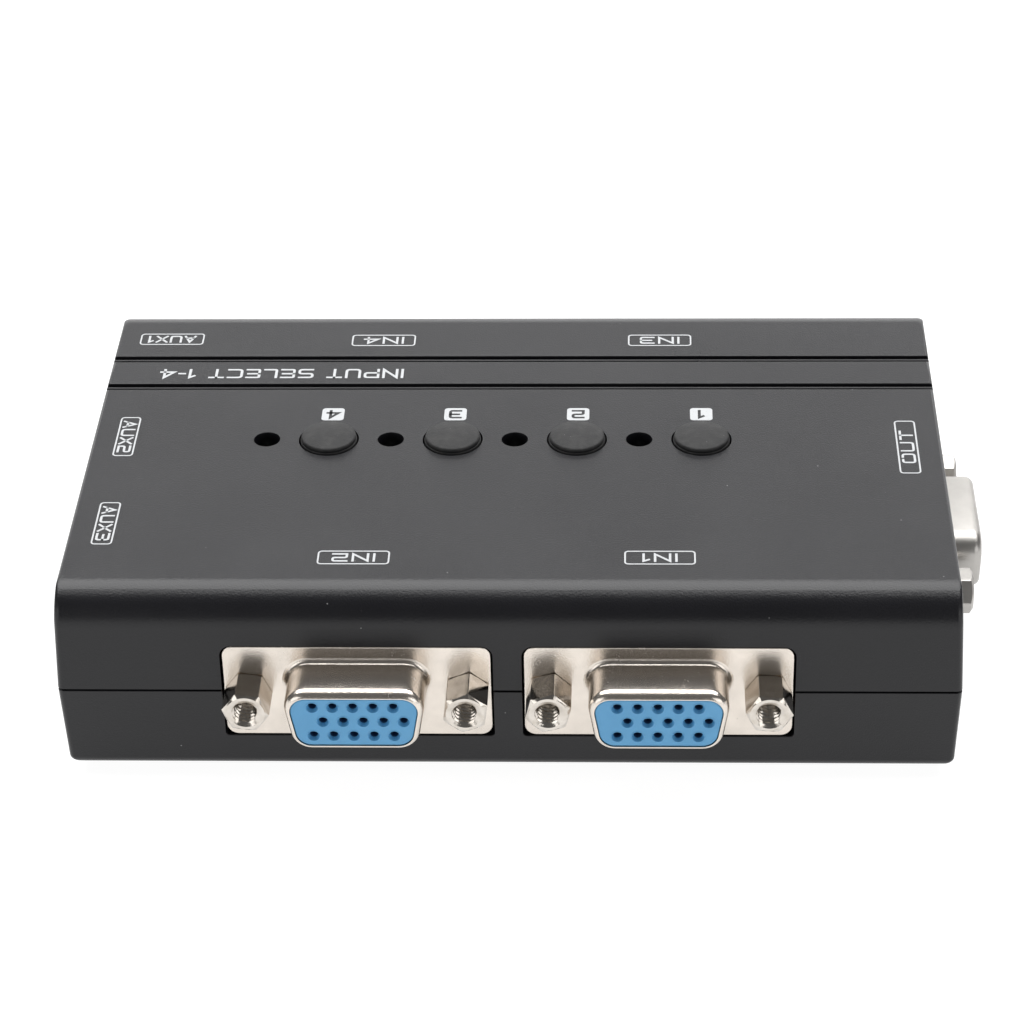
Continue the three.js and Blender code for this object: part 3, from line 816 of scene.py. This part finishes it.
def shell_template():
    """The flange, the tube drawn out of it with a rolled lip, and the brackets behind."""
    back = 4
    jack_xs = (-JACK_SPACING / 2, JACK_SPACING / 2)
    outline = rounded_rectangle(FLANGE_WIDTH / 2, FLANGE_HEIGHT / 2, FLANGE_RADIUS, 8)
    plate = facing(outline, 0, FLANGE_THICKNESS)
    cut(plate, [facing(d_outline(0.2), -1, 2)])
    fused(plate, [facing(rectangle(2.5, 4.5), FLANGE_THICKNESS / 2, back, x) for x in jack_xs])
    cut(plate, [facing(circle(1.7, 32), -1, back + 1, x) for x in jack_xs])
    soften(plate, 0.22, 3)
    turns = [math.pi / 2 * k / 6 for k in range(7)]
    path = [(D_FOOT + 0.1, 0.5, None), (D_FOOT + 0.1, 0.03, None)]
    path += [(D_FOOT * (1 - math.sin(t)), D_FOOT * (math.cos(t) - 1), None) for t in turns]
    side, top = D_LIP
    path += [(0, y, None) for y in (-1.5, -3.0, -4.2)]
    path += [(-side * share, behind - D_LENGTH, -top * share) for behind, share in lip_profile()]
    path += [(-side, 0.08 - D_LENGTH, -top), (-side, 0.5, -top)]
    tube = loft([d_loop(grow, y, top) for grow, y, top in path], ring=True)
    smooth(tube, 50)
    return merged([plate, tube])


def insulator_template():
    """The moulded body with fifteen rimmed, countersunk contact holes."""
    face = 0.07 - D_LENGTH
    side, top = D_LIP
    path = [(0.18, face), (0.06, face + 0.12), (0.06, 2.5)]
    nose = loft([d_loop(-side - inset, y, -top - inset) for inset, y in path])
    centres = [
        (column * CONTACT_PITCH + (OUTER_ROW_SHIFT if row else MIDDLE_ROW_SHIFT), row * CONTACT_ROW_PITCH)
        for row in (1, 0, -1) for column in range(-2, 3)
    ]
    fused(nose, [ring_boss(x, z, face) for x, z in centres])
    cut(nose, [contact_hole(x, z, face) for x, z in centres])
    smooth(nose, 30)
    # Faces inside each contact hole take the second material, a painted shade darker than the blue.
    for polygon in nose.data.polygons:
        x, y, z = polygon.center / MM
        if y > face + 0.3 and min(math.hypot(x - cx, z - cz) for cx, cz in centres) < 0.45:
            polygon.material_index = 1
    drop = centre_mm("pc1_video_shell").z - box_mm("pc1_video_insulator")[0].z
    block = facing(rectangle(9.7, (5 + drop) / 2), 1.1, 12, 0, (5 - drop) / 2)
    soften(block, 0.3)
    return merged([nose, block])


def bored(x, z, path):
    """A solid of revolution about a line along Y, from (radius, y) pairs."""
    return loft([[(x + r * c, y, z + r * s) for c, s in circle(1, 24)] for r, y in path])


def ring_boss(x, z, face):
    """The faint raised rim round a contact hole."""
    outer, rim, top = 0.80, 0.74, face - 0.05
    return bored(x, z, [(outer, face + 0.1), (outer, face - 0.01), (rim, top), (0.5, top)])


def contact_hole(x, z, face):
    """A hole with a wide conical mouth and a narrow bore."""
    mouth, bore, cone, depth = 0.68, 0.45, 0.45, 3.6
    path = [(mouth * 1.3, face - 0.25), (mouth, face - 0.04), (bore, face + cone), (bore, face + depth)]
    return bored(x, z, path)


def jack_template():
    """A hexagonal screw head, chamfered at both ends, with a 4-40 thread cut into it."""
    corner = JACK_ACROSS / math.sqrt(3)
    edge_radius = 0.16
    hexagon = rounded_polygon([
        (corner * math.sin(math.tau * i / 6), corner * math.cos(math.tau * i / 6), edge_radius)
        for i in range(6, 0, -1)
    ], 4)
    outline = []
    for i, point in enumerate(hexagon):
        following = hexagon[(i + 1) % len(hexagon)]
        outline.append(point)
        if math.dist(point, following) > 0.5:  # a flat, so its line gets more points
            outline += [tuple(Vector(point).lerp(Vector(following), k / 6)) for k in range(1, 6)]
    tip = JACK_ACROSS / 2 - 0.16
    rear_y, shank_end, shank_radius = -0.03, 5.2, 1.4

    def ring(radius, y):
        """The outline's points drawn in to a circle."""
        return [(radius * x / math.hypot(x, z), y, radius * z / math.hypot(x, z)) for x, z in outline]

    def drawn_in(x, z, by, slope):
        """A point that lies `by` inside the hexagon and slopes back from the flat tip."""
        radius = math.hypot(x, z)
        reach = (radius - by) / radius
        return (x * reach, -JACK_LENGTH + (radius - tip) * slope + (0.14 - by) * 0.9, z * reach)

    front = [ring(tip, -JACK_LENGTH)]
    front += [[drawn_in(x, z, by, 0.42) for x, z in outline] for by in (0.1, 0.04, 0)]
    rear = [[(x, rear_y - (math.hypot(x, z) - tip) * 0.35, z) for x, z in outline], ring(tip, rear_y)]
    shank = [ring(shank_radius, y) for y in (rear_y, shank_end)]
    return smooth(loft(thread_loops(outline) + front + rear + shank), 18)


def thread_loops(outline):
    """Loops down the bore from its blind end to its mouth, following a helical thread."""
    pitch, minor, major = 0.635, 1.30, 1.58
    crest = 0.3  # the share of the pitch that is flat
    mouth, mouth_slope = 1.86, 1.9
    depth, per_turn = 3.8, 8
    rows = int(depth / pitch * per_turn)
    angles = [math.atan2(z, x) for x, z in outline]
    loops = []
    for row in range(rows, -1, -1):
        inward = depth * row / rows
        y = -JACK_LENGTH + inward
        loop = []
        for angle in angles:
            phase = (inward / pitch + angle / math.tau) % 1
            radius = minor + (major - minor) * max(0, abs(2 * phase - 1) - crest) / (1 - crest)
            radius = max(radius, mouth - mouth_slope * inward)
            loop.append((radius * math.cos(angle), y, radius * math.sin(angle)))
        loops.append(loop)
    return loops


def video_sockets():
    shell = shell_template()
    insulator = insulator_template()
    jack = jack_template()
    for name, place in VIDEO_PLACES.items():
        # The output socket wears the darker copy of the nickel, a painted shade.
        in_painted_shade = name == "output"
        look, screw_look = ("painted_shade_nickel", "painted_shade_nickel") if in_painted_shade else ("nickel", "turned_nickel")
        finished(
            copy_of(shell, place),
            f"{name}_d_shell", "nickel", node=f"{name}_video_shell", look=look,
        )
        finished(
            copy_of(insulator, place),
            f"{name}_contact_block", "blue_insulator", node=f"{name}_video_insulator", second="shaded_bore",
        )
        for side, label, twist in zip((-1, 1), ("left", "right"), JACK_TWISTS[name]):
            finished(
                copy_of(jack, place @ shift(side * JACK_SPACING / 2) @ turn(twist, "Y")),
                f"{name}_hex_jack_{label}", "nickel", node=f"{name}_jack_screw_{label}", look=screw_look,
            )
    for template in (shell, insulator, jack):
        bpy.data.objects.remove(template)


# --- USB sockets ---

USB_TURNS = {"usb1": 180, "usb2": -90, "usb3": -90}
USB_LOW = box_mm("usb1_shell")[0].z
USB_Z = centre_mm("usb1_shell").z
USB_WIDTH, USB_LENGTH, USB_HEIGHT = box_mm("usb1_shell")[1] - box_mm("usb1_shell")[0]
USB_WALL = 0.35
USB_INNER = USB_HEIGHT / 2 - USB_WALL  # half the height inside the walls
TONGUE_WIDTH, TONGUE_THICKNESS, TONGUE_START, TONGUE_TOP_GAP = 11.2, 1.9, 1.0, 0.45
USB_PLACES = {name: socket_place(f"{name}_shell", USB_TURNS[name]) for name in USB_TURNS}


def usb_loop(grow, y):
    outline = rounded_rectangle(USB_WIDTH / 2 + grow, USB_HEIGHT / 2 + grow, max(0.8 + grow, 0.3), 6)
    return [(x, y, z) for x, z in outline]


def usb_shell_template():
    flare = 0.18
    path = [(-USB_WALL, USB_LENGTH - USB_WALL), (-USB_WALL, 0.8), (-USB_WALL + flare, 0.04)]
    path += [(flare - 0.08, 0), (flare, 0.06), (0, 0.8), (0, USB_LENGTH)]
    tube = smooth(loft([usb_loop(grow, y) for grow, y in path]))
    springs = [usb_spring(x, side) for x in (-3.1, 3.1) for side in (-1, 1)]
    return merged([tube, *springs])


def usb_spring(x, side):
    """A leaf that bows into the mouth from the top or bottom wall."""
    loops = []
    for y, bow in ((1.2, 0.0), (2.2, 0.26), (3.2, 0.34), (4.4, 0.22), (6.8, 0.0)):
        height = side * (USB_INNER - bow + 0.06)
        loops.append([(x + a, y, height + side * b) for a, b in rectangle(1, 0.08)])
    return smooth(loft(loops))


def usb_tongue_template():
    tongue_z = USB_INNER - TONGUE_TOP_GAP - TONGUE_THICKNESS / 2
    tongue = facing(rectangle(TONGUE_WIDTH / 2, TONGUE_THICKNESS / 2), TONGUE_START, 10.4, 0, tongue_z)
    block = facing(rectangle(USB_WIDTH / 2 - USB_WALL - 0.25, USB_INNER - 0.25), 10, 13)
    fused(tongue, [block])
    return soften(tongue, 0.18)


def usb_contacts_template():
    under = USB_INNER - TONGUE_TOP_GAP - TONGUE_THICKNESS
    bars = []
    for x in (-3.5, -1, 1, 3.5):
        loops = []
        for y, lift in ((2.0, -0.05), (2.5, 0.12), (3.3, 0.16), (4.5, 0.1), (9.9, 0.1)):
            loops.append([(x + a, y, under - lift + 0.08 + b) for a, b in rectangle(0.5, 0.08)])
        bars.append(smooth(loft(loops)))
    return merged(bars)


def usb_sockets():
    shell = usb_shell_template()
    tongue = usb_tongue_template()
    contacts = usb_contacts_template()
    for name, place in USB_PLACES.items():
        finished(copy_of(shell, place), f"{name}_formed_shell", "nickel", node=f"{name}_shell")
        finished(
            copy_of(tongue, place),
            f"{name}_moulded_tongue", "black_insulator", node=f"{name}_tongue",
        )
        finished(copy_of(contacts, place), f"{name}_contacts", "nickel", look="turned_nickel")
    for template in (shell, tongue, contacts):
        bpy.data.objects.remove(template)


# --- Buttons and lamps ---

def button_caps():
    low, high = box_mm("button_cap_1")
    rim_radius = (high.x - low.x) / 2
    crown_top = high.z
    cap_radius, edge_top = 3.35, CASE_TOP + 0.7
    skirt_radius, step_z = 3.42, CASE_TOP + 0.12
    rim_top, rim_low = CASE_TOP - 2.4, CASE_TOP - 3
    plunger_top = box_mm("switch_plunger_1")[1].z + 0.3
    collar = 2.05
    profile = [(AXIS, plunger_top), (collar, plunger_top), (collar, low.z), (collar + 0.9, low.z)]
    profile += [(collar + 0.9, rim_low), (rim_radius, rim_low), (rim_radius, rim_top)]
    profile += [(skirt_radius, rim_top)]
    profile += arc((skirt_radius - 0.08, step_z - 0.08), 0.08, 0, 90, 3)
    profile += [(cap_radius - 0.03, step_z + 0.02)]
    edge = 0.42
    crown_radius = cap_radius - edge
    profile += arc((crown_radius, edge_top - edge), edge, 0, 76, 6)
    rim_height = profile[-1][1]
    steps = 9
    for k in range(1, steps + 1):
        share = 1 - k / steps
        height = rim_height + (crown_top - rim_height) * (1 - share**2)
        profile.append((max(AXIS, (crown_radius + 0.1) * share), height))
    for number in NUMBERS:
        body, node = f"button_{number}", f"button_cap_{number}"
        cap = over(smooth(turned(profile, 72), 32), node)
        finished(cap, f"button_{number}_domed_cap", "button_plastic", body, node)
        stem_low, stem_high = box_mm(f"switch_plunger_{number}")
        stem = turned([
            (AXIS, stem_low.z), (1.6, stem_low.z), (1.75, stem_low.z + 0.15),
            (1.75, stem_high.z - 0.3), (1.45, stem_high.z), (AXIS, stem_high.z),
        ], 40)
        over(smooth(stem, 35), node)
        finished(stem, f"button_{number}_stem", "black_insulator", body, f"switch_plunger_{number}")


def lamps():
    for number in NUMBERS:
        low, high = box_mm(f"lamp_{number}")
        base = 16.3
        radius = 1.45
        profile = [(AXIS, base), (1.9, base), (1.9, base + 1), (radius, base + 1)]
        profile += arc((0, high.z - radius), radius, 0, 89.6, 12)
        lens = smooth(turned(profile, 40), 35)
        leads = [upright(rectangle(0.25, 0.25), low.z, base + 0.3, x, 0) for x in (-1.27, 1.27)]
        lamp = merged([lens, *[soften(lead, 0.05) for lead in leads]])
        over(lamp, f"lamp_{number}")
        finished(lamp, f"lamp_{number}_lens", "lamp", node=f"lamp_{number}")


# --- The board and its parts ---

def chip_package(node, leads_per_side):
    """A moulded package with bent leads along its two long sides."""
    low, high, middle = span_mm(node)
    half_width, half_depth = (high.x - low.x) / 2, (high.y - low.y) / 2 - 1
    package = loft([
        [(middle.x + x, middle.y + y, z) for x, y in rectangle(half_width - draw, half_depth - draw)]
        for z, draw in ((low.z + 0.1, 0.12), ((low.z + high.z) / 2, 0), (high.z, 0.12))
    ])
    soften(package, 0.06)
    finished(package, f"{node}_package", "chip", node=node)
    leads = []
    span = 2 * half_width - 1.2
    for side in (-1, 1):
        for k in range(leads_per_side):
            x = middle.x - span / 2 + span * k / (leads_per_side - 1)
            leads.append(gull_wing(x, middle.y + side * half_depth, side, low.z))
    finished(merged(leads), f"{node}_leads", "nickel")


def gull_wing(x, y, side, low):
    """A chip's lead, bent down to the board."""
    half, thick = 0.16, 0.13
    loops = []
    for out, height in ((-0.15, 0.62), (0.2, 0.62), (0.4, 0.5), (0.52, 0.12), (0.66, 0.02), (1.0, 0.02)):
        along, middle = y + side * out, low + height + thick / 2
        loops.append([(x + a, along, middle + b) for a, b in rectangle(half, thick / 2)])
    return smooth(loft(loops))


def board_parts():
    board = copy_of(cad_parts["main_board"], Matrix.Identity(4))
    tidy = bmesh.new()
    tidy.from_mesh(board.data)
    bmesh.ops.remove_doubles(tidy, verts=tidy.verts, dist=1e-6)
    bmesh.ops.dissolve_limit(tidy, angle_limit=math.radians(1), verts=tidy.verts, edges=tidy.edges)
    tidy.to_mesh(board.data)
    tidy.free()
    soften(board, 0.1)
    finished(board, "main_board_laminate", "board", node="main_board")
    chip_package("controller_chip", 12)
    for node in ("usb_hub_chip", "video_switch_chip_a", "video_switch_chip_b"):
        chip_package(node, 10)
    low, high = box_mm("crystal")
    half = (high - low) / 2
    oval = rounded_rectangle(half.x, half.y, half.y - 0.05, 10)
    profile = [(0.94, low.z), (1.0, low.z + 0.1), (1.0, low.z + 0.4), (0.9, low.z + 0.45)]
    profile += [(0.9, high.z - 0.3), (0.86, high.z - 0.05), (0.8, high.z)]
    can = loft([[(x * share, y * share, z) for x, y in oval] for share, z in profile])
    finished(over(smooth(can), "crystal"), "crystal_can", "nickel", node="crystal")
    for i in (1, 2):
        node = f"capacitor_{i}"
        low, high = box_mm(node)
        r = (high.x - low.x) / 2
        profile = [(AXIS, low.z), (r - 0.15, low.z), (r, low.z + 0.15), (r, low.z + 0.8)]
        profile += [(r - 0.25, low.z + 1.1), (r, low.z + 1.4), (r, high.z - 0.3), (r - 0.3, high.z)]
        profile += [(r - 0.5, high.z - 0.06), (AXIS, high.z - 0.06)]
        sleeve = smooth(turned(profile, 48), 35)
        finished(over(sleeve, node), f"{node}_sleeve", "chip", node=node)
    for number in NUMBERS:
        node = f"switch_body_{number}"
        low, high = box_mm(node)
        body = upright(rectangle(3, 3), low.z, high.z)
        cut(body, [upright(circle(2.05, 40), 6.8, high.z + 1)])
        soften(body, 0.15)
        finished(over(body, node), f"{node}_housing", "black_insulator", node=node)


# --- Printed marks ---

INK = 0.02  # how far a film stands above the plastic
INK_LOW = -0.01
# Strokes in cap heights; each point is (x, y) or (x, y, corner radius).
LETTERS = {
    "I": [[(0, 0), (0, 1)]],
    "N": [[(0, 0), (0, 1), (0.86, 0), (0.86, 1)]],
    "P": [[(0, 0), (0, 1), (0.86, 1, 0.2), (0.86, 0.42, 0.2), (0, 0.42)]],
    "U": [[(0, 1), (0, 0, 0.24), (0.86, 0, 0.24), (0.86, 1)]],
    "T": [[(0, 1), (0.86, 1)], [(0.43, 1), (0.43, 0)]],
    "S": [[(0.84, 1), (0, 1, 0.2), (0, 0.52, 0.2), (0.86, 0.52, 0.2), (0.86, 0, 0.2), (0.02, 0)]],
    "E": [[(0.8, 1), (0, 1, 0.12), (0, 0, 0.12), (0.8, 0)], [(0, 0.52), (0.72, 0.52)]],
    "L": [[(0, 1), (0, 0, 0.12), (0.76, 0)]],
    "C": [[(0.86, 1), (0, 1, 0.24), (0, 0, 0.24), (0.86, 0)]],
    "O": [[(0.43, 1), (0, 1, 0.24), (0, 0, 0.24), (0.86, 0, 0.24), (0.86, 1, 0.24), (0.43, 1)]],
    "A": [[(0, 0), (0.43, 1), (0.86, 0)], [(0.16, 0.32), (0.7, 0.32)]],
    "X": [[(0, 0), (0.86, 1)], [(0, 1), (0.86, 0)]],
    "1": [[(0, 0.78), (0.3, 1), (0.3, 0)]],
    "2": [[(0, 1), (0.8, 1, 0.2), (0.8, 0.52, 0.2), (0, 0.52, 0.2), (0, 0), (0.8, 0)]],
    "3": [[(0, 1), (0.8, 1, 0.2), (0.8, 0, 0.2), (0, 0)], [(0.15, 0.52), (0.8, 0.52)]],
    "4": [[(0.62, 0), (0.62, 1), (0, 0.3), (0.86, 0.3)]],
    "-": [[(0, 0.5), (0.34, 0.5)]],
    " ": [],
}
SPACE_WIDTH = 0.3
LETTER_GAP = 0.36


def eased(points, steps=4):
    """A stroke's centre line with its corners rounded."""
    line = [Vector(points[0][:2])]
    for i in range(1, len(points) - 1):
        corner = Vector(points[i][:2])
        radius = points[i][2] if len(points[i]) > 2 else 0
        before = (Vector(points[i - 1][:2]) - corner).normalized()
        after = (Vector(points[i + 1][:2]) - corner).normalized()
        if radius == 0:
            line.append(corner)
            continue
        start, end = corner + before * radius, corner + after * radius
        for k in range(steps + 1):
            t = k / steps
            line.append((1 - t) ** 2 * start + 2 * t * (1 - t) * corner + t * t * end)
    line.append(Vector(points[-1][:2]))
    return line


def stroke_outline(line, half):
    """The outline of a stroke drawn along a line, square at its ends."""
    left, right = [], []
    for i, point in enumerate(line):
        before = (point - line[i - 1]).normalized() if i else None
        after = (line[i + 1] - point).normalized() if i < len(line) - 1 else None
        along = ((before or after) + (after or before)).normalized()
        side = Vector((-along.y, along.x))
        reference = before or after
        stretch = half / max(0.35, side.dot(Vector((-reference.y, reference.x))))
        end = -along * half if before is None else along * half if after is None else Vector((0, 0))
        left.append(point + side * stretch + end)
        right.append(point - side * stretch + end)
    return [tuple(p) for p in right + left[::-1]]


def ink(outline, place, low=INK_LOW, high=INK):
    """A thin raised film on the case's top, its outline in the label's own plane."""
    film = loft([[(x, y, z) for x, y in outline] for z in (low, high)])
    return placed(film, place)


def label_place(x, y, degrees):
    return shift(x, y, CASE_TOP) @ turn(degrees)


def lettering(text, height, stroke, place, spread=1.0, film=(INK_LOW, INK)):
    """A line of letters centred on `place`, stretched sideways by `spread`."""
    scale_x = height * spread
    widths = [max((p[0] for points in LETTERS[c] for p in points), default=SPACE_WIDTH) for c in text]
    start = -(sum(widths) + LETTER_GAP * (len(text) - 1)) * scale_x / 2
    films = []
    for c, width in zip(text, widths):
        for points in LETTERS[c]:
            scaled = [
                (start + p[0] * scale_x, (p[1] - 0.5) * height, *[r * height for r in p[2:]]) for p in points
            ]
            films.append(ink(stroke_outline(eased(scaled), stroke / 2), place, *film))
        start += (width + LETTER_GAP) * scale_x
    return films


def framed(text, width, place, height=2.75, spread=1.0):
    """A label in a thin rounded frame."""
    line, radius = 0.19, 0.5
    letter_height, stroke = 1.4, 0.28
    outer = rounded_rectangle(width / 2, height / 2, radius, 5)
    inner = rounded_rectangle(width / 2 - line, height / 2 - line, radius - line, 5)
    section = ((outer, INK_LOW), (outer, INK), (inner, INK), (inner, INK_LOW))
    loops = [[(x, y, z) for x, y in outline] for outline, z in section]
    frame_ring = placed(loft(loops, ring=True), place)
    return [frame_ring, *lettering(text, letter_height, stroke, place, spread)]


def printed_marks():
    """White print on the top. It reads from the back, except along the two short sides."""
    from_back = 180
    marks = []
    for text, x, y, width in (
        ("IN1", 17.35, -24.46, 8.15), ("IN2", -17.68, -24.5, 8.3),
        ("IN3", 17.62, 24.07, 8.0), ("IN4", -17.36, 24.13, 8.1),
    ):
        marks += framed(text, width, label_place(x, y, from_back), spread=1.42)
    marks += framed("AUX1", 8.15, label_place(-44.38, 24.47, from_back), spread=1.05)
    marks += framed("AUX2", 8.8, label_place(-47.14, 1.35, -90), 2.5, spread=1.1)
    marks += framed("AUX3", 8.8, label_place(-47.1, -17.52, -90), 2.5, spread=1.1)
    marks += framed("OUT", 11.7, label_place(47.09, -0.97, 90), 2.55, spread=1.5)
    title_y = sum(GROOVE_YS) / 2 - 0.25
    marks += lettering("INPUT SELECT 1-4", 1.85, 0.33, label_place(-29.65, title_y, from_back), 1.03)
    digits = []
    for number in NUMBERS:
        button = centre_mm(f"button_cap_{number}")
        place = label_place(button.x + 0.07, button.y + 5.7, from_back)
        marks.append(ink(rounded_rectangle(1.36, 1.4, 0.45, 5), place))
        digits += lettering(str(number), 1.55, 0.36, place, film=(INK * 0.5, INK * 1.5))
    finished(merged(marks), "printed_marks", look="white_ink")
    finished(merged(digits), "badge_digits", look="case_plastic")


# --- Everything together ---

make_camera()
make_light()
top_cover()
bottom_cover()
rubber_feet()
case_screws()
video_sockets()
usb_sockets()
button_caps()
lamps()
board_parts()
printed_marks()

FLOOR_REACH = 3000
floor = mesh_object([(x, y, 0) for x, y in rectangle(FLOOR_REACH, FLOOR_REACH)], [(0, 1, 2, 3)])
floor.name = "floor"
floor.location.z = FOOT_LOW.z * MM
floor.data.materials.append(pale_floor())
